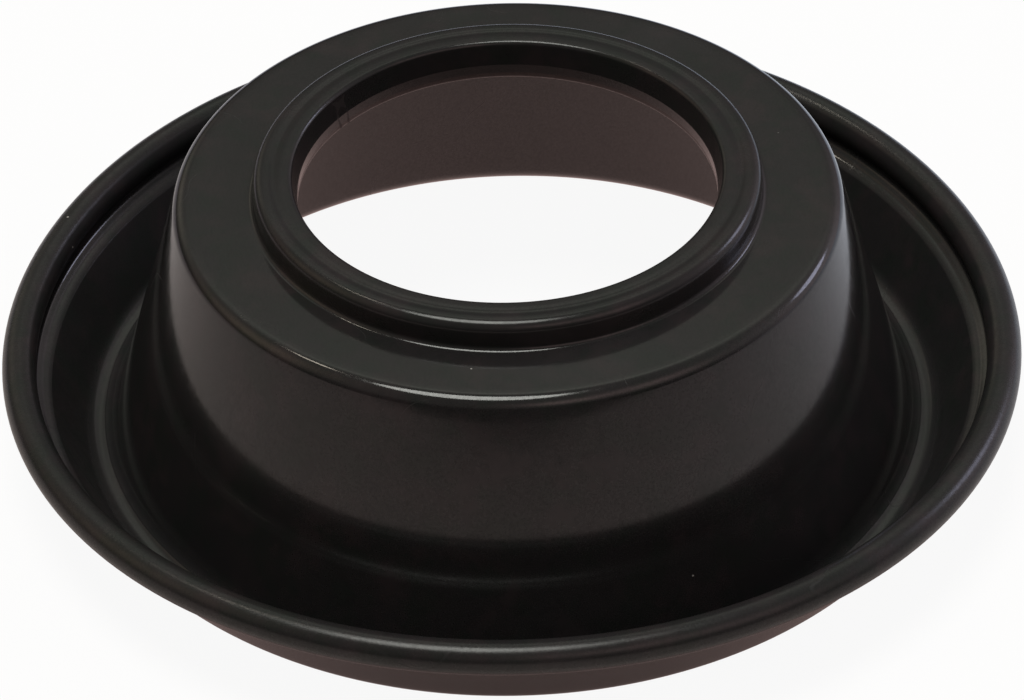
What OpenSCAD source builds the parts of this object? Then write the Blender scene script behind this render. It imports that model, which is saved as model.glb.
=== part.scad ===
// Carburettor slide diaphragm: one moulded rubber ring, drawn as a single half-section and turned
// about Z, the axis of its bore. It stands on the bottom of its rolling channel, at Z = 0.

/* [Outside sizes] */
// Diameter over the sealing bead
rim_d = 66; // [62:0.5:72]
// Height from the bottom of the channel to the flat top
flat_h = 18.4; // [15:0.2:22]
// Thickness of the rubber wall
wall = 0.8; // [0.5:0.05:0.9]

/* [Sealing bead] */
// Diameter of the round bead in the rim
bead_d = 2.2; // [1.9:0.05:2.6]
// Height of the bead's centre above the bottom of the channel
bead_h = 6.65; // [6:0.05:8]
// Slope of the land inside the bead
land_slope = 32; // [20:1:40]
// Width of the land, from its inner edge to the centre of the bead
land_w = 2.5; // [2.4:0.05:3]
// Radius of the hollow at the foot of the bead
foot_r = 0.45; // [0.2:0.05:0.5]
// Diameter of the fine line that runs round the land
land_line_d = 60.8; // [60.4:0.1:61]
// Width of that line
land_line_w = 0.3; // [0.1:0.02:0.36]
// Depth of that line
land_line_depth = 0.015; // [0.01:0.005:0.1]

/* [Rolling channel] */
// Diameter of the middle of the channel
channel_d = 53.8; // [52.4:0.1:55]
// Inside radius of the bottom of the channel
channel_r = 1.15; // [0.8:0.05:1.4]
// Radius of the land's inner edge, above the channel
land_edge_r = 0.3; // [0.2:0.05:0.5]
// Radius of the hollow corner under that edge
land_under_r = 0.4; // [0.2:0.05:0.8]

/* [Flat top] */
// Diameter of the flat top, over its rounded edge
flat_d = 42.9; // [41:0.1:45]
// Radius of the edge between the flat top and the cone
flat_edge_r = 1.0; // [0.95:0.05:1.6]

/* [Collar] */
// Diameter of the bore
bore_d = 26.8; // [25:0.1:27.4]
// Diameter of the collar near its top
collar_d = 32.4; // [31.8:0.1:34]
// Height of the collar above the flat top
collar_h = 1.9; // [1.6:0.1:3]
// Draft angle of the collar's outer wall
collar_draft = 2; // [1:0.5:10]
// Radius of the hollow at the foot of the collar
collar_foot_r = 0.35; // [0.1:0.05:0.5]
// Radius of the collar's outer top edge
collar_edge_r = 0.7; // [0.3:0.05:0.8]
// Radius of the collar's inner top edge
mouth_r = 0.35; // [0.2:0.05:0.45]
// Angle from the upright of the lead-in taper below that edge
lead_in = 11.5; // [4:0.5:16]
// Radius of the edge between the taper and the straight bore
throat_r = 0.1; // [0.05:0.05:0.3]
// Length of the straight bore, from the rounding of its lower edge up to that edge
straight_l = 0.8; // [0.5:0.1:1.2]
// Radius of the bore's lower edge
lip_r = 0.3; // [0.1:0.05:0.4]
// Diameter of the groove round the collar's top
groove_d = 29.8; // [29.4:0.1:30.3]
// Width of that groove
groove_w = 0.55; // [0.3:0.05:0.6]
// Depth of that groove
groove_depth = 0.1; // [0.05:0.01:0.2]

/* [Hidden] */

// Segments in the full turn, and the angle of one step along a rounding
turn_fn = 240;
arc_step = 9;

// Centres of the circles that the section is drawn round, as [radius, height]
bead_r = bead_d / 2;
bead_c = [rim_d / 2 - bead_r, bead_h];
channel_c = [channel_d / 2, channel_r + wall];
flat_c = [flat_d / 2 - flat_edge_r, flat_h - flat_edge_r];

// The land runs along one sloping line whose underside just touches the bead
land_dir = [cos(land_slope), sin(land_slope)];
land_up = [-sin(land_slope), cos(land_slope)];
land_drop = bead_r - wall;
land_edge_c = bead_c - land_w * land_dir - (land_drop + land_edge_r) * land_up;
foot_run = sqrt(pow(bead_r + foot_r, 2) - pow(land_drop - foot_r, 2));
foot_c = bead_c - foot_run * land_dir - (land_drop - foot_r) * land_up;
foot_angle = 180 + land_slope + asin((land_drop - foot_r) / (bead_r + foot_r));

// Lean of the cone and of the channel's outer wall from the upright
cone_lean = lean(channel_c - flat_c, flat_edge_r + channel_r);
channel_lean = lean(land_edge_c - channel_c, land_edge_r + channel_r);

// The hollow corner under the land, where the two undersides meet
under_c = corner(land_edge_c, land_edge_r - wall - land_under_r);

// Where the fine line crosses the land
land_line_at = foot_c - foot_r * land_up
    + (land_line_d / 2 - foot_c[0] + foot_r * land_up[0]) / land_dir[0] * land_dir;

// The collar's wall and rounded edges
collar_top = flat_h + collar_h;
collar_c = [collar_d / 2 - collar_edge_r, collar_top - collar_edge_r];
collar_foot_h = flat_h + collar_foot_r;
collar_foot_c = [
    collar_c[0] + (collar_edge_r + collar_foot_r) / cos(collar_draft)
        + (collar_c[1] - collar_foot_h) * tan(collar_draft),
    collar_foot_h
];
lip_c = [bore_d / 2 + lip_r, flat_h - wall + lip_r];
throat_c = [bore_d / 2 + throat_r, lip_c[1] + straight_l];
mouth_h = collar_top - mouth_r;
mouth_c = [
    throat_c[0] + (mouth_r - throat_r) / cos(lead_in) + (mouth_h - throat_c[1]) * tan(lead_in),
    mouth_h
];

// Angle from the upright of a line that crosses between two circles a vector apart
function lean(v, radii) = atan2(v[0], abs(v[1])) - asin(radii / norm(v));

// Centre of a circle that touches the land's line and the channel's wall at a distance from both
function corner(from, d) =
    let (turn = 90 - land_slope - channel_lean)
    from + d / cos(turn / 2) * [-cos(channel_lean + turn / 2), sin(channel_lean + turn / 2)];

// Points along a rounding, from one angle to another
function arc(c, r, from, to) =
    let (n = max(2, ceil(abs(to - from) / arc_step)))
    [for (i = [0:n]) let (a = from + (to - from) * i / n) c + r * [cos(a), sin(a)]];

// Points along a shallow round groove, cut square to a surface that faces a given angle
function groove(at, facing, w, depth) =
    let (r = (pow(w / 2, 2) + pow(depth, 2)) / (2 * depth), half = asin(w / 2 / r))
    arc(at + (r - depth) * [cos(facing), sin(facing)], r, facing + 180 - half, facing + 180 + half);

// Upper side of the section, from the bore out to the bead
function upper_side() = concat(
    arc(lip_c, lip_r, 270, 180),
    arc(throat_c, throat_r, 180, 180 - lead_in),
    arc(mouth_c, mouth_r, 180 - lead_in, 90),
    groove([groove_d / 2, collar_top], 90, groove_w, groove_depth),
    arc(collar_c, collar_edge_r, 90, collar_draft),
    arc(collar_foot_c, collar_foot_r, 180 + collar_draft, 270),
    arc(flat_c, flat_edge_r, 90, cone_lean),
    arc(channel_c, channel_r, 180 + cone_lean, 360 - channel_lean),
    arc(land_edge_c, land_edge_r, 180 - channel_lean, 90 + land_slope),
    groove(land_line_at, 90 + land_slope, land_line_w, land_line_depth),
    arc(foot_c, foot_r, 270 + land_slope, foot_angle + 180)
);

// Underside of the section, from the bead back to the flat top
function under_side() = concat(
    arc(bead_c, bead_r, foot_angle, land_slope - 90),
    arc(under_c, land_under_r, 90 + land_slope, 180 - channel_lean),
    arc(channel_c, channel_r + wall, 360 - channel_lean, 180 + cone_lean),
    arc(flat_c, flat_edge_r - wall, cone_lean, 90)
);

module diaphragm() {
    color([0.045, 0.043, 0.042])
    rotate_extrude($fn = turn_fn)
    polygon(concat(upper_side(), under_side()));
}

diaphragm();
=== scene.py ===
"""Dresses a moulded rubber carburettor slide diaphragm and sets its studio."""

import math

import bpy
from bpy.props import FloatProperty, FloatVectorProperty, IntProperty, PointerProperty
from mathutils import Euler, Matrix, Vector


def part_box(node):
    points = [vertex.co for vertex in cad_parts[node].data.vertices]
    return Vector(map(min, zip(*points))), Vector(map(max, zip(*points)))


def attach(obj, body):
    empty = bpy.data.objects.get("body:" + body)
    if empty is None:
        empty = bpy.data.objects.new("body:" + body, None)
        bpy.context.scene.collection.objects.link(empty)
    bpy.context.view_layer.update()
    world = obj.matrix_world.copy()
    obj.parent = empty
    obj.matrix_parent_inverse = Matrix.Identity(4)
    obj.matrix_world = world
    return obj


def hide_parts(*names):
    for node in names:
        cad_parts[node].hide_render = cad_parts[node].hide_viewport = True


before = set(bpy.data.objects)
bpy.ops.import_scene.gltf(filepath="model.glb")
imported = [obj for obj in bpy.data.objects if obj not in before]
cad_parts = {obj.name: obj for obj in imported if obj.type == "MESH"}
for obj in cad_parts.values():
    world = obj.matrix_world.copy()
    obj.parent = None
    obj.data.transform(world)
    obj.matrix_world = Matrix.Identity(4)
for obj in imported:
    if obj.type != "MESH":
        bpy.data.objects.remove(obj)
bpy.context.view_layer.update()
LOW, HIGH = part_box("diaphragm")

bl_info = {
    "name": "Carburettor slide diaphragm",
    "version": (1, 0, 0),
    "blender": (4, 5, 0),
    "location": "View3D > Sidebar > Diaphragm",
    "description": "Models the moulded rubber diaphragm, its rubber and its studio",
    "category": "Object",
}

MM = 0.001

# Points closer together than this are one point
TOUCH = 1e-4 * MM

# Broad soft sources of the room: azimuth, elevation and spread in degrees, and radiance
SOFT_SOURCES = (
    (26, 10, 31, (0.77, 0.67, 0.72)),
    (64, 47, 11, (0.33, 0.35, 0.30)),
    (91, 49, 10, (0.59, 0.62, 0.53)),
    (118, 47, 11, (0.33, 0.35, 0.30)),
    (287, 36, 11, (0.87, 0.61, 0.58)),
    (176, 31, 22, (0.51, 0.37, 0.25)),
    (319, 37, 16, (0.74, 0.51, 0.50)),
    (123, 20, 13, (0.40, 0.37, 0.29)),
)

# Lamps: name, azimuth, elevation and half angle in degrees, radiance, and whether it is mirrored
LAMPS = (
    ("lamp_back_left", 137, 61, 3, (10.0, 9.0, 7.5), True),
    ("lamp_window", 27, 26, 8.5, (3.0, 3.1, 4.1), True),
    ("soft_box_above", 180, 84, 14, (7.8, 7.9, 7.4), True),
    ("matte_fill", 180, 84, 14, (4.4, 4.4, 4.6), False),
)


def number(name, description, default):
    """A plain number property."""
    return FloatProperty(name=name, description=description, default=default, min=0)


def length(name, description, default):
    """A length property in metres."""
    return FloatProperty(
        name=name, description=description, default=default, unit="LENGTH", precision=5
    )


def angle(name, description, degrees):
    """An angle property, given in degrees and held in radians."""
    return FloatProperty(
        name=name, description=description, default=math.radians(degrees), subtype="ANGLE"
    )


def colour(name, description, default):
    """A colour property."""
    return FloatVectorProperty(
        name=name, description=description, default=default, subtype="COLOR", size=3, min=0, max=1
    )


def glow(name, description, default):
    """A radiance property, which may pass 1."""
    return FloatVectorProperty(
        name=name, description=description, default=default, subtype="COLOR", size=3, min=0
    )


class DiaphragmSizes(bpy.types.PropertyGroup):
    """Sizes of the diaphragm's section, and the wave of its free rim."""

    rim_d: length("Rim diameter", "Diameter over the sealing bead", HIGH.x - LOW.x)
    top_h: length("Height", "Height of the collar's top", HIGH.z)
    wall: length("Wall", "Thickness of the rubber wall", 0.8 * MM)
    bead_d: length("Bead", "Diameter of the round sealing bead", 2.2 * MM)
    bead_h: length("Bead height", "Height of the bead's centre", 6.65 * MM)
    land_slope: angle("Land slope", "Slope of the land inside the bead", 32)
    land_w: length("Land width", "From the land's inner edge to the bead's centre", 2.5 * MM)
    land_edge_r: length("Land edge", "Radius of the land's inner edge", 0.3 * MM)
    land_under_r: length("Land corner", "Radius of the corner under that edge", 0.4 * MM)
    land_line_d: length("Land line", "Diameter of the fine line round the land", 60.8 * MM)
    land_line_w: length("Land line width", "Width of that line", 0.3 * MM)
    land_line_depth: length("Land line depth", "Depth of that line", 0.015 * MM)
    foot_r: length("Bead foot", "Radius of the hollow at the foot of the bead", 0.45 * MM)
    channel_d: length("Channel", "Diameter of the middle of the channel", 53.8 * MM)
    channel_r: length("Channel radius", "Inside radius of the channel's bottom", 1.15 * MM)
    flat_d: length("Flat top", "Diameter over the flat top's rounded edge", 42.9 * MM)
    flat_edge_r: length("Flat edge", "Radius of the flat top's edge", 1.0 * MM)
    bore_d: length("Bore", "Diameter of the bore", 26.8 * MM)
    collar_d: length("Collar", "Diameter of the collar near its top", 32.4 * MM)
    collar_h: length("Collar height", "Height of the collar above the flat top", 1.9 * MM)
    collar_draft: angle("Collar draft", "Draft angle of the collar's outer wall", 2)
    collar_foot_r: length("Collar foot", "Radius at the foot of the collar", 0.35 * MM)
    collar_edge_r: length("Collar edge", "Radius of the collar's outer top edge", 0.7 * MM)
    mouth_r: length("Mouth", "Radius of the collar's inner top edge", 0.35 * MM)
    lead_in: angle("Lead-in", "Angle of the taper below that edge", 11.5)
    throat_r: length("Throat", "Radius between the taper and the straight bore", 0.1 * MM)
    straight_l: length("Straight bore", "Length of the straight bore", 0.8 * MM)
    lip_r: length("Lip", "Radius of the bore's lower edge", 0.3 * MM)
    groove_d: length("Groove", "Diameter of the groove round the collar's top", 29.8 * MM)
    groove_w: length("Groove width", "Width of that groove", 0.55 * MM)
    groove_depth: length("Groove depth", "Depth of that groove", 0.04 * MM)
    droop: length("Droop", "How far the whole rim sinks as it lies free", 0.15 * MM)
    wave: length("Wave", "Drop of the rim's sides, and rise of its front and back", 0.40 * MM)
    flex_gap: length("Flex start", "From the channel's middle to where the rim gives", 0.6 * MM)
    flex_w: length("Flex width", "Width over which the rim comes to give fully", 3.4 * MM)
    turn_steps: IntProperty(name="Turn steps", description="Faces in a full turn", default=240)
    arc_step: angle("Rounding step", "Turn of one face along a rounding", 5)


class RubberLook(bpy.types.PropertyGroup):
    """Colours and finish of the moulded rubber."""

    black: colour("Black", "Colour of the moulded skin", (0.0146, 0.0137, 0.0140))
    brown: colour("Brown", "Colour of the warm clouds in the skin", (0.0220, 0.0168, 0.0176))
    olive: colour("Olive", "Colour of the cool clouds in the skin", (0.0118, 0.0138, 0.0124))
    # Partly painted light: this brown tint of the inner side is the rubber's own colour and also
    # painted warm light from the floor
    bloom_and_warm_light: colour("Bloom", "Brown bloom on the skin's inner side", (0.046, 0.029, 0.027))
    handled: colour("Handled", "Colour of the haze that handling leaves", (0.026, 0.0255, 0.0265))
    shade: colour("Shade", "Colour of the darkest mottle", (0.0085, 0.008, 0.008))
    dust: colour("Dust", "Colour of the pale specks", (0.42, 0.41, 0.38))
    warm_size: length("Warm clouds", "Size of the warm clouds", 3.6 * MM)
    cool_size: length("Cool clouds", "Size of the cool clouds", 2.4 * MM)
    mottle_size: length("Mottle", "Size of the mottle", 0.7 * MM)
    haze_size: length("Haze", "Size of the patches of haze", 14 * MM)
    roughness: number("Roughness", "Roughness of the skin", 0.09)
    inner_rough: number("Inner roughness", "Added on the inner side", 0.16)
    rolled_rough: number("Rolled roughness", "Added on the channel's outer wall", 0.24)
    bead_rough: number("Bead roughness", "Added on the bead", 0.17)
    rolled_loss: number("Rolled gloss loss", "Gloss lost on the channel's outer wall", 0.8)
    bead_loss: number("Bead gloss loss", "Gloss lost on the bead and the collar", 0.26)
    grain: length("Grain", "Height of the grain, drag marks and scratches", 0.0025 * MM)
    grain_size: length("Grain size", "Size of the finest grain", 0.16 * MM)
    speck_gap: length("Speck gap", "Spacing of the cells that may hold a speck", 2.2 * MM)
    speck_r: length("Speck radius", "Radius of the largest speck", 0.11 * MM)


class StudioSetup(bpy.types.PropertyGroup):
    """Camera, floor and light."""

    elevation: angle("Elevation", "Height angle of the camera", 38.236)
    roll: angle("Roll", "Turn of the camera about its own line of sight", -1.421)
    distance: length("Distance", "From the camera to the middle of the rim", 432.6 * MM)
    rim_h: length("Rim height", "Height of the middle of the rim", 6.49 * MM)
    aim_h: length("Aim height", "Height of the point that the camera looks at", 5.57 * MM)
    aim_side: length("Aim side", "How far that point lies to the right", 0.03 * MM)
    lens: number("Lens", "Focal length in millimetres", 234.73)
    floor_size: length("Floor", "Side of the square floor", 3.0)
    floor_colour: colour("Floor colour", "Colour of the pale floor", (0.80, 0.77, 0.74))
    floor_white: number("Floor whiteness", "Share of plain white that the camera sees", 0.93)
    light: number("Light", "Level of all the light", 1.0)
    lamp_distance: length("Lamp distance", "From the part to the lamps", 2.5)
    sky_glow: glow("Sky glow", "Even light from all sides above the horizon", (0.115, 0.112, 0.1))
    sheet_reach: length("Sheet reach", "Distance at which the sheet's glow is half as bright", 0.08)
    sheet_end: length("Sheet end", "From the part to the end of the mirrored sheet in front", 0.122)
    sheet_glow: glow("Sheet glow", "Mirrored light of the near floor", (0.39, 0.375, 0.335))
    far_glow: glow("Far glow", "Mirrored light of the floor further away", (0.25, 0.18, 0.17))
    side_glow: glow("Side glow", "Mirrored light of the floor at the far right", (0.33, 0.47, 0.62))
    side_way: angle("Side way", "Azimuth at which that light is brightest", 59)
    inner_glow: glow("Inner glow", "Mirrored light of the floor in the ring", (0.64, 0.46, 0.43))


def sizes():
    """The section's sizes."""
    return bpy.context.scene.diaphragm_sizes


def flat(x, z):
    """A point of the section, which is drawn in the XZ plane."""
    return Vector((x, 0.0, z))


def towards(degrees):
    """A direction in the section's plane, turned up from +X."""
    turn = math.radians(degrees)
    return flat(math.cos(turn), math.sin(turn))


def crossing_lean(start, end, radii):
    """Angle from the upright, in degrees, of a line that crosses between two circles."""
    run = end - start
    return math.degrees(math.atan2(run.x, abs(run.z)) - math.asin(radii / run.length))


class Section:
    """Centres and angles of the half-section, in metres and degrees."""

    def __init__(self, s):
        bead_r = s.bead_d / 2
        flat_h = s.top_h - s.collar_h
        slope = math.degrees(s.land_slope)
        draft = math.degrees(s.collar_draft)
        self.slope, self.draft, self.bead_r, self.flat_h = slope, draft, bead_r, flat_h
        self.along, self.up = towards(slope), towards(slope + 90)
        self.bead = flat(s.rim_d / 2 - bead_r, s.bead_h)
        self.channel = flat(s.channel_d / 2, s.channel_r + s.wall)
        self.edge = flat(s.flat_d / 2 - s.flat_edge_r, flat_h - s.flat_edge_r)

        drop = bead_r - s.wall
        self.land_edge = self.bead - s.land_w * self.along - (drop + s.land_edge_r) * self.up
        reach = bead_r + s.foot_r
        sink = drop - s.foot_r
        self.foot = self.bead - math.sqrt(reach**2 - sink**2) * self.along - sink * self.up
        self.foot_turn = 180 + slope + math.degrees(math.asin(sink / reach))
        self.cone_lean = crossing_lean(self.edge, self.channel, s.flat_edge_r + s.channel_r)
        self.wall_lean = crossing_lean(self.channel, self.land_edge, s.land_edge_r + s.channel_r)
        half = (90 - slope - self.wall_lean) / 2
        back = (s.land_edge_r - s.wall - s.land_under_r) / math.cos(math.radians(half))
        self.under = self.land_edge + back * towards(180 - self.wall_lean - half)
        land = self.foot - s.foot_r * self.up
        self.line = land + (s.land_line_d / 2 - land.x) / self.along.x * self.along

        self.collar = flat(s.collar_d / 2 - s.collar_edge_r, s.top_h - s.collar_edge_r)
        foot_h = flat_h + s.collar_foot_r
        gap = (s.collar_edge_r + s.collar_foot_r) / math.cos(s.collar_draft)
        spread = (self.collar.z - foot_h) * math.tan(s.collar_draft)
        self.collar_foot = flat(self.collar.x + gap + spread, foot_h)
        self.lip = flat(s.bore_d / 2 + s.lip_r, flat_h - s.wall + s.lip_r)
        self.throat = flat(s.bore_d / 2 + s.throat_r, self.lip.z + s.straight_l)
        self.mouth = flat(self.throat.x, s.top_h - s.mouth_r)
        self.mouth.x += (s.mouth_r - s.throat_r) / math.cos(s.lead_in)
        self.mouth.x += (self.mouth.z - self.throat.z) * math.tan(s.lead_in)
        self.lead_in = math.degrees(s.lead_in)


class Pen:
    """Draws the outline in edit mode: straights are extruded, and roundings are spun."""

    def __init__(self, step):
        self.step = math.degrees(step)
        self.at = None

    def start(self, point):
        """Puts down the first point, cut from a primitive circle."""
        bpy.ops.object.select_all(action="DESELECT")
        bpy.ops.mesh.primitive_circle_add(vertices=3, radius=MM, location=(0, 0, 0))
        bpy.ops.object.mode_set(mode="EDIT")
        bpy.ops.mesh.merge(type="CENTER")
        bpy.ops.transform.translate(value=point)
        self.at = point.copy()

    def line_to(self, point, pieces=1):
        """A straight to a point, in equal pieces."""
        run = (point - self.at) / pieces
        if run.length * pieces < TOUCH:
            return
        for _ in range(pieces):
            bpy.ops.mesh.extrude_region_move(TRANSFORM_OT_translate={"value": run})
        self.at = point.copy()

    def round(self, centre, radius, start, end, pieces=1):
        """A straight to the start of a rounding, and the rounding."""
        self.line_to(centre + radius * towards(start), pieces)
        steps = max(3, math.ceil(abs(end - start) / self.step))
        bpy.ops.mesh.spin(
            steps=steps, angle=math.radians(end - start), center=centre, axis=(0, 1, 0)
        )
        self.at = centre + radius * towards(end)

    def groove(self, at, facing, width, depth, pieces=1):
        """A shallow round groove, cut square to a surface that faces a given angle."""
        radius = ((width / 2) ** 2 + depth**2) / (2 * depth)
        half = math.degrees(math.asin(width / 2 / radius))
        centre = at + (radius - depth) * towards(facing)
        self.round(centre, radius, facing + 180 - half, facing + 180 + half, pieces)


def draw_upper_side(pen, s, c):
    """The upper side of the section, from the bore out to the bead."""
    pen.start(c.lip + s.lip_r * towards(270))
    pen.round(c.lip, s.lip_r, 270, 180)
    pen.round(c.throat, s.throat_r, 180, 180 - c.lead_in, 2)
    pen.round(c.mouth, s.mouth_r, 180 - c.lead_in, 90, 3)
    pen.groove(flat(s.groove_d / 2, s.top_h), 90, s.groove_w, s.groove_depth, 2)
    pen.round(c.collar, s.collar_edge_r, 90, c.draft, 2)
    pen.round(c.collar_foot, s.collar_foot_r, 180 + c.draft, 270, 3)
    pen.round(c.edge, s.flat_edge_r, 90, c.cone_lean, 10)
    pen.round(c.channel, s.channel_r, 180 + c.cone_lean, 360 - c.wall_lean, 20)
    pen.round(c.land_edge, s.land_edge_r, 180 - c.wall_lean, 90 + c.slope, 6)
    pen.groove(c.line, 90 + c.slope, s.land_line_w, s.land_line_depth, 2)
    pen.round(c.foot, s.foot_r, 270 + c.slope, c.foot_turn + 180, 2)


def draw_under_side(pen, s, c):
    """The underside of the section, round the bead and back to the bore."""
    pen.round(c.bead, c.bead_r, c.foot_turn, c.slope - 90)
    pen.round(c.under, s.land_under_r, 90 + c.slope, 180 - c.wall_lean, 3)
    pen.round(c.channel, s.channel_r + s.wall, 360 - c.wall_lean, 180 + c.cone_lean, 5)
    pen.round(c.edge, s.flat_edge_r - s.wall, c.cone_lean, 90, 18)
    pen.line_to(c.lip + s.lip_r * towards(270), 10)


def turn_outline(steps):
    """Closes the outline and turns it about Z into the rubber ring."""
    bpy.ops.mesh.select_all(action="SELECT")
    bpy.ops.mesh.remove_doubles(threshold=TOUCH)
    bpy.ops.mesh.spin(steps=steps, angle=math.tau, center=(0, 0, 0), axis=(0, 0, 1))
    bpy.ops.mesh.select_all(action="SELECT")
    bpy.ops.mesh.remove_doubles(threshold=TOUCH)
    bpy.ops.mesh.normals_make_consistent(inside=False)
    bpy.ops.mesh.select_all(action="DESELECT")
    bpy.ops.object.mode_set(mode="OBJECT")


def wave_rim(piece, s):
    """Lets the free rim sink and wave a little, as soft rubber does, with a lattice."""
    group = piece.vertex_groups.new(name="rim")
    for vertex in piece.data.vertices:
        share = (vertex.co.xy.length - s.channel_d / 2 - s.flex_gap) / s.flex_w
        share = max(0.0, min(1.0, share))
        group.add([vertex.index], share * share * (3 - 2 * share), "REPLACE")
    bpy.ops.object.select_all(action="DESELECT")
    bpy.ops.object.add(type="LATTICE", location=(0, 0, s.bead_h))
    cage = bpy.context.active_object
    cage.data.points_u = cage.data.points_v = 7
    cage.data.points_w = 2
    # The cage is this many times as wide as the rim, so its border is far from the rubber
    span = 1.7
    cage.scale = (span * s.rim_d, span * s.rim_d, s.rim_d)
    for point in cage.data.points:
        across = (point.co.x**2 - point.co.y**2) * (2 * span) ** 2
        point.co_deform.z -= (s.droop + s.wave * across) / s.rim_d
    bpy.context.view_layer.objects.active = piece
    bend = piece.modifiers.new("Rim wave", "LATTICE")
    bend.object, bend.vertex_group = cage, group.name
    bpy.ops.object.modifier_apply(modifier=bend.name)
    piece.vertex_groups.clear()
    bpy.data.objects.remove(cage)


class Nodes:
    """Adds and joins shader nodes with few words."""

    def __init__(self, tree):
        self.tree = tree
        self.tree.nodes.clear()

    def add(self, kind, inputs=None, **settings):
        """A node with its settings; an input is a value or another node's output."""
        node = self.tree.nodes.new(kind)
        for name, value in settings.items():
            setattr(node, name, value)
        for key, value in (inputs or {}).items():
            socket = node.inputs[key]
            if isinstance(value, bpy.types.NodeSocket):
                self.tree.links.new(value, socket)
            else:
                socket.default_value = value
        return node

    def math(self, operation, a, b=0.0, c=0.0):
        """The output of a Math node."""
        return self.add("ShaderNodeMath", {0: a, 1: b, 2: c}, operation=operation).outputs[0]

    def vector(self, operation, a, b=(0, 0, 0), scale=1.0):
        """A Vector Math node's output, which is a number for a length or a dot product."""
        inputs = {0: a, 1: b, 3: scale}
        node = self.add("ShaderNodeVectorMath", inputs, operation=operation)
        return node.outputs["Value" if operation in {"LENGTH", "DOT_PRODUCT"} else "Vector"]

    def ramp(self, value, low, high, to_low=0.0, to_high=1.0):
        """A value carried smoothly from one range to another."""
        inputs = {"Value": value, 1: low, 2: high, 3: to_low, 4: to_high}
        node = self.add("ShaderNodeMapRange", inputs, interpolation_type="SMOOTHSTEP")
        return node.outputs[0]

    def band(self, value, low, full, fade, high):
        """1 from full to fade, and smoothly down to 0 at low and at high."""
        rise, fall = self.ramp(value, low, full), self.ramp(value, fade, high, 1, 0)
        return self.math("MULTIPLY", rise, fall)

    def mix(self, factor, a, b):
        """A mix of two colours."""
        node = self.add("ShaderNodeMix", {"Factor": factor, 6: a, 7: b}, data_type="RGBA")
        return node.outputs[2]

    def noise(self, place, size, detail=2.0, roughness=0.5):
        """Noise whose patches are about a given size in metres."""
        inputs = {"Vector": place, "Scale": 1 / size, "Detail": detail, "Roughness": roughness}
        return self.add("ShaderNodeTexNoise", inputs).outputs[0]


def inner_side(n, s, c, height, radius):
    """1 on the cone's inner wall and under the flat top, and 0 elsewhere."""
    slope = math.tan(math.radians(c.cone_lean))
    drop = n.math("SUBTRACT", s.top_h, height)
    start = 3.3 * MM
    wall = n.math("MULTIPLY_ADD", drop, slope, s.flat_d / 2 - s.wall - start * slope)
    inside = n.ramp(n.math("SUBTRACT", wall, radius), -0.1 * MM, 0.1 * MM)
    under_top = n.ramp(height, c.flat_h - 0.3 * s.wall, c.flat_h - 0.5 * s.wall)
    return n.math("MULTIPLY", inside, under_top)


def dull_zones(n, s, c, height, radius):
    """Where the skin is duller: the wall that rolls in use, the bead, and the collar."""
    across = towards(-c.wall_lean)
    depth = n.math("MULTIPLY_ADD", height, across.z, -across.dot(c.channel) - s.channel_r)
    depth = n.math("MULTIPLY_ADD", radius, across.x, depth)
    upper_side = n.ramp(depth, 0.55 * MM, 0.7 * MM, 1, 0)
    middle, edge, foot = s.channel_d / 2, c.land_edge.x, c.foot.x
    rolled = n.band(radius, middle + 0.3 * MM, middle + 1.1 * MM, edge - 0.2 * MM, edge + 0.2 * MM)
    hollow = n.band(radius, foot - 0.1 * MM, foot + 0.2 * MM, foot + 0.55 * MM, foot + 0.8 * MM)
    rolled = n.math("MULTIPLY", n.math("MAXIMUM", rolled, hollow), upper_side)
    bead = n.ramp(radius, c.bead.x - 1.2 * MM, c.bead.x - 0.5 * MM)
    collar = n.ramp(radius, s.collar_d / 2, s.collar_d / 2 + 0.3 * MM, 1, 0)
    return rolled, bead, collar


def skin_colour(n, look, place, inner, mottle, haze):
    """Clouds of colour in the skin, a brown tint on the inner side, partly the rubber's own colour
    and partly painted warm light from the floor, and the haze that handling leaves.
    """
    warm = n.ramp(n.noise(place, look.warm_size, 4.0, 0.6), 0.44, 0.68, 0, 0.7)
    aside = n.vector("ADD", place, (0.3, 0.1, 0.2))
    cool = n.ramp(n.noise(aside, look.cool_size, 4.0, 0.6), 0.44, 0.66, 0, 0.75)
    # Painted light, in part: the inner side is tinted brown, partly the rubber's own colour and
    # partly the warm light that the floor throws into the ring
    bloom_and_warm_light = n.math("MULTIPLY", inner, n.ramp(mottle, 0.3, 0.7, 0.85, 1.0))
    tint = n.mix(warm, (*look.black, 1), (*look.brown, 1))
    tint = n.mix(cool, tint, (*look.olive, 1))
    tint = n.mix(bloom_and_warm_light, tint, (*look.bloom_and_warm_light, 1))
    tint = n.mix(haze, tint, (*look.handled, 1))
    return n.mix(n.ramp(mottle, 0.45, 0.8, 0, 0.4), tint, (*look.shade, 1))


def pale_specks(n, look, place, mottle):
    """1 on the pale specks, each in one cell of many."""
    cells = n.add("ShaderNodeTexVoronoi", {"Vector": place, "Scale": 1 / look.speck_gap}).outputs
    pick = n.add("ShaderNodeSeparateColor", {0: cells["Color"]}).outputs
    reach = n.math("MULTIPLY", pick[1], look.speck_r / look.speck_gap)
    speck = n.math("LESS_THAN", n.math("MULTIPLY_ADD", mottle, 0.02, cells["Distance"]), reach)
    return n.math("MULTIPLY", speck, n.math("GREATER_THAN", pick[0], 0.7))


def fine_scratches(n, place):
    """1 on thin lines where a slow pattern passes its middle, in worn patches only."""
    wander = n.noise(place, 11 * MM, 1.5, 0.4)
    line = n.ramp(n.math("ABSOLUTE", n.math("SUBTRACT", wander, 0.5)), 0, 0.0018, 1, 0)
    worn = n.ramp(n.noise(place, 6 * MM, 2.0), 0.52, 0.6)
    return n.math("MULTIPLY", line, worn)


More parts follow.
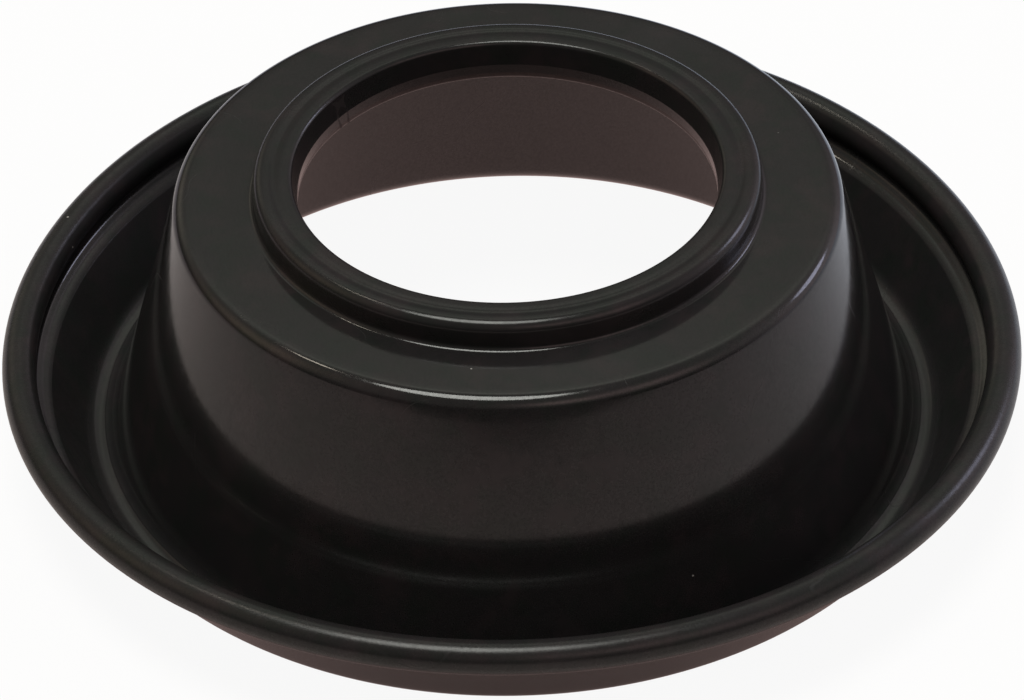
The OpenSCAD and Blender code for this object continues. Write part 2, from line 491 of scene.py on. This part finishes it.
def drag_marks(n, place, level):
    """Marks of the mould, which run up the part's walls."""
    around = n.vector("SCALE", n.vector("NORMALIZE", level), scale=22 * MM)
    stretched = n.vector("ADD", around, n.vector("MULTIPLY", place, (0, 0, 0.05)))
    return n.noise(stretched, 0.5 * MM, 3.0, 0.6)


def black_rubber(look, s, c):
    """Moulded black rubber: a cloudy satin skin with grain, a brown inner tint that is partly
    painted warm light from the floor, specks and scratches.
    """
    material = bpy.data.materials.new("black_rubber")
    material.use_nodes = True
    n = Nodes(material.node_tree)
    place = n.add("ShaderNodeTexCoord").outputs["Object"]
    height = n.add("ShaderNodeSeparateXYZ", {0: place}).outputs[2]
    level = n.vector("MULTIPLY", place, (1, 1, 0))
    radius = n.vector("LENGTH", level)
    inner = inner_side(n, s, c, height, radius)
    rolled, bead, collar = dull_zones(n, s, c, height, radius)
    mottle = n.noise(place, look.mottle_size, 4.0, 0.65)
    haze = n.ramp(n.noise(place, look.haze_size, 3.0, 0.6), 0.5, 0.75, 0, 0.25)
    speck = pale_specks(n, look, place, mottle)
    scratch = fine_scratches(n, place)

    tint = skin_colour(n, look, place, inner, mottle, haze)
    tint = n.mix(n.math("MULTIPLY", speck, 0.7), tint, (*look.dust, 1))

    # Relief: drag marks up to the edge of the flat top, and grain and scratches all over
    drag = drag_marks(n, place, level)
    walls = n.ramp(height, c.flat_h - 0.8 * MM, c.flat_h - 0.3 * MM, 1, 0)
    grain = n.noise(place, look.grain_size, 3.0, 0.6)
    relief = n.math("MULTIPLY_ADD", n.math("MULTIPLY", drag, walls), 2.2, grain)
    relief = n.math("MULTIPLY_ADD", scratch, -0.8, relief)
    bump = n.add("ShaderNodeBump", {"Height": relief, "Distance": look.grain, "Strength": 0.2})

    # Each layer makes the skin a little rougher, and the duller zones mirror less
    dusty = n.math("MAXIMUM", speck, scratch)
    worn = n.math("MAXIMUM", bead, n.math("MULTIPLY", collar, 0.5))
    rough = n.ramp(mottle, 0.3, 0.7, look.roughness - 0.02, look.roughness + 0.03)
    for layer, added in (
        (inner, look.inner_rough),
        (rolled, look.rolled_rough),
        (worn, look.bead_rough),
        (haze, 0.08),
        (drag, 0.02),
        (dusty, 0.3),
    ):
        rough = n.math("MULTIPLY_ADD", layer, added, rough)
    gloss = n.math("MULTIPLY_ADD", n.math("MAXIMUM", bead, collar), -look.bead_loss, 1.0)
    gloss = n.math("MULTIPLY_ADD", rolled, -look.rolled_loss, gloss)
    gloss = n.math("MULTIPLY", gloss, n.ramp(grain, 0.3, 0.7, 0.42, 0.58))
    skin = {"Base Color": tint, "Roughness": rough, "Normal": bump.outputs[0], "IOR": 1.5}
    skin["Specular IOR Level"] = gloss
    shader = n.add("ShaderNodeBsdfPrincipled", skin)
    n.add("ShaderNodeOutputMaterial", {0: shader.outputs[0]})
    return material


class DIAPHRAGM_OT_rubber(bpy.types.Operator):
    """Models the rubber ring from its half-section and gives it its rubber"""

    bl_idname = "diaphragm.rubber"
    bl_label = "Model the diaphragm"

    def execute(self, context):
        s = sizes()
        section = Section(s)
        pen = Pen(s.arc_step)
        draw_upper_side(pen, s, section)
        draw_under_side(pen, s, section)
        turn_outline(s.turn_steps)
        piece = context.active_object
        piece.name = piece.data.name = "moulded_diaphragm"
        wave_rim(piece, s)
        bpy.ops.object.select_all(action="DESELECT")
        piece.select_set(True)
        bpy.ops.object.shade_smooth()
        piece.data.materials.append(black_rubber(context.scene.rubber_look, s, section))
        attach(piece, "root")
        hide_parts("diaphragm")
        return {"FINISHED"}


def aim(azimuth, elevation):
    """A direction from the part, given by its angles in degrees."""
    turn, lift = math.radians(azimuth), math.radians(elevation)
    level = math.cos(lift)
    return Vector((level * math.cos(turn), level * math.sin(turn), math.sin(lift)))


def lobe(n, direction, way, spread):
    """Share of a soft source's light that comes from a direction."""
    sharp = 1 / (1 - math.cos(math.radians(spread)))
    facing = n.vector("DOT_PRODUCT", direction, way)
    return n.math("EXPONENT", n.math("MULTIPLY_ADD", facing, sharp, -sharp))


def floor_material(studio):
    """Pale sheet under the part: white to the camera, fading to a dark room in reflections."""
    material = bpy.data.materials.new("pale_floor")
    material.use_nodes = True
    n = Nodes(material.node_tree)
    place = n.add("ShaderNodeTexCoord").outputs["Object"]
    patches = n.noise(place, 60 * MM, 2.0)
    pale = tuple(0.97 * channel for channel in studio.floor_colour)
    tint = n.mix(patches, (*pale, 1), (*studio.floor_colour, 1))
    matte = n.add("ShaderNodeBsdfDiffuse", {"Color": tint}).outputs[0]
    white = n.add("ShaderNodeEmission", {"Color": (1, 1, 1, 1), "Strength": 1.0}).outputs[0]

    # Mirrored glow: brightest near the part, cooler at the far right, none past the sheet's end
    fade = 12 * MM
    away = n.vector("LENGTH", place)
    depth = n.add("ShaderNodeSeparateXYZ", {0: place}).outputs[1]
    near = n.math("POWER", n.math("DIVIDE", away, studio.sheet_reach), 2.4)
    near = n.math("DIVIDE", 1.0, n.math("ADD", near, 1.0))
    side_way = aim(math.degrees(studio.side_way), 0)
    side = n.vector("DOT_PRODUCT", n.vector("NORMALIZE", place), side_way)
    side = n.math("EXPONENT", n.math("MULTIPLY_ADD", side, 1.9, -1.9))
    outer = n.vector("SCALE", tuple(studio.sheet_glow), scale=near)
    outer = n.vector("ADD", outer, tuple(studio.far_glow))
    outer = n.vector("ADD", outer, n.vector("SCALE", tuple(studio.side_glow), scale=side))
    end = n.ramp(depth, -studio.sheet_end - fade, -studio.sheet_end)
    outer = n.vector("SCALE", outer, scale=end)
    inner = n.ramp(depth, -fade, fade, 0.45, 1.0)
    inner = n.vector("SCALE", tuple(studio.inner_glow), scale=inner)
    total = n.mix(n.ramp(away, HIGH.x - 1 * MM, HIGH.x + 2 * MM), inner, outer)
    mirrored = n.add("ShaderNodeEmission", {"Color": total, "Strength": studio.light}).outputs[0]

    rays = n.add("ShaderNodeLightPath").outputs
    seen = n.math("MAXIMUM", rays["Is Camera Ray"], rays["Is Transmission Ray"])
    share = n.math("MULTIPLY", seen, studio.floor_white)
    mixed = n.add("ShaderNodeMixShader", {0: share, 1: matte, 2: white}).outputs[0]
    mixed = n.add("ShaderNodeMixShader", {0: rays["Is Glossy Ray"], 1: mixed, 2: mirrored})
    n.add("ShaderNodeOutputMaterial", {0: mixed.outputs[0]})
    return material


def studio_world(studio):
    """Soft room light from a few broad sources, with a white background for the camera."""
    world = bpy.data.worlds.new("soft_room")
    bpy.context.scene.world = world
    world.use_nodes = True
    n = Nodes(world.node_tree)
    direction = n.add("ShaderNodeTexCoord").outputs["Generated"]
    height = n.add("ShaderNodeSeparateXYZ", {0: direction}).outputs[2]
    total = n.vector("SCALE", tuple(studio.sky_glow), scale=n.ramp(height, 0.14, 0.42))
    for azimuth, elevation, spread, tint in SOFT_SOURCES:
        share = lobe(n, direction, aim(azimuth, elevation), spread)
        total = n.vector("ADD", total, n.vector("SCALE", tint, scale=share))
    rays = n.add("ShaderNodeLightPath").outputs
    seen = n.mix(rays["Is Camera Ray"], n.vector("SCALE", total, scale=studio.light), (1, 1, 1, 1))
    back = n.add("ShaderNodeBackground", {"Color": seen, "Strength": 1.0})
    n.add("ShaderNodeOutputWorld", {0: back.outputs[0]})


def round_lamp(studio, name, azimuth, elevation, half_angle, radiance, mirrored):
    """A round lamp that looks at the part; one that isn't mirrored lights matte colour only."""
    way = aim(azimuth, elevation)
    bpy.ops.object.light_add(type="AREA", location=way * studio.lamp_distance)
    lamp = bpy.context.active_object
    lamp.name = name
    lamp.rotation_euler = way.to_track_quat("Z", "Y").to_euler()
    radius = studio.lamp_distance * math.tan(math.radians(half_angle))
    level = max(radiance)
    lamp.data.shape = "DISK"
    lamp.data.size = 2 * radius
    lamp.data.color = [channel / level for channel in radiance]
    lamp.data.energy = studio.light * level * (math.pi * radius) ** 2
    lamp.visible_glossy = mirrored


class DIAPHRAGM_OT_stage(bpy.types.Operator):
    """Sets the floor, the soft light and the camera"""

    bl_idname = "diaphragm.stage"
    bl_label = "Set the stage"

    def execute(self, context):
        studio = context.scene.studio_setup
        scene = context.scene
        scene.view_settings.view_transform = "Standard"
        bpy.ops.object.select_all(action="DESELECT")
        bpy.ops.mesh.primitive_plane_add(size=studio.floor_size, location=(0, 0, LOW.z))
        floor = context.active_object
        floor.name = "studio_floor"
        bpy.ops.object.transform_apply(location=True, rotation=True, scale=True)
        floor.data.materials.append(floor_material(studio))

        studio_world(studio)
        for lamp in LAMPS:
            round_lamp(studio, *lamp)

        lift = studio.elevation
        place = Vector((0, -math.cos(lift), math.sin(lift))) * studio.distance
        place.z += studio.rim_h
        target = Vector((studio.aim_side, 0, studio.aim_h))
        bpy.ops.object.camera_add(location=place)
        camera = context.active_object
        camera.name = "photo_camera"
        look = (place - target).to_track_quat("Z", "Y")
        camera.rotation_euler = (look @ Euler((0, 0, studio.roll)).to_quaternion()).to_euler()
        camera.data.sensor_fit = "HORIZONTAL"
        camera.data.sensor_width = 36
        camera.data.lens = studio.lens
        camera.data.clip_start, camera.data.clip_end = 0.01, 20
        scene.camera = camera
        return {"FINISHED"}


class DIAPHRAGM_PT_panel(bpy.types.Panel):
    """Lists the operators that make the diaphragm and its stage"""

    bl_idname = "DIAPHRAGM_PT_panel"
    bl_label = "Slide diaphragm"
    bl_space_type = "VIEW_3D"
    bl_region_type = "UI"
    bl_category = "Diaphragm"

    def draw(self, context):
        for operator in OPERATORS:
            self.layout.operator(operator.bl_idname)


OPERATORS = (DIAPHRAGM_OT_rubber, DIAPHRAGM_OT_stage)
GROUPS = {
    "diaphragm_sizes": DiaphragmSizes,
    "rubber_look": RubberLook,
    "studio_setup": StudioSetup,
}
CLASSES = (*GROUPS.values(), *OPERATORS, DIAPHRAGM_PT_panel)


def register():
    """Registers the classes and hangs the property groups on the scene."""
    for cls in CLASSES:
        bpy.utils.register_class(cls)
    for name, group in GROUPS.items():
        setattr(bpy.types.Scene, name, PointerProperty(type=group))


def unregister():
    """Takes the property groups and classes off again."""
    for name in GROUPS:
        delattr(bpy.types.Scene, name)
    for cls in reversed(CLASSES):
        bpy.utils.unregister_class(cls)


def main():
    """Makes the piece and the stage."""
    register()
    bpy.ops.diaphragm.rubber()
    bpy.ops.diaphragm.stage()


if __name__ == "__main__":
    main()
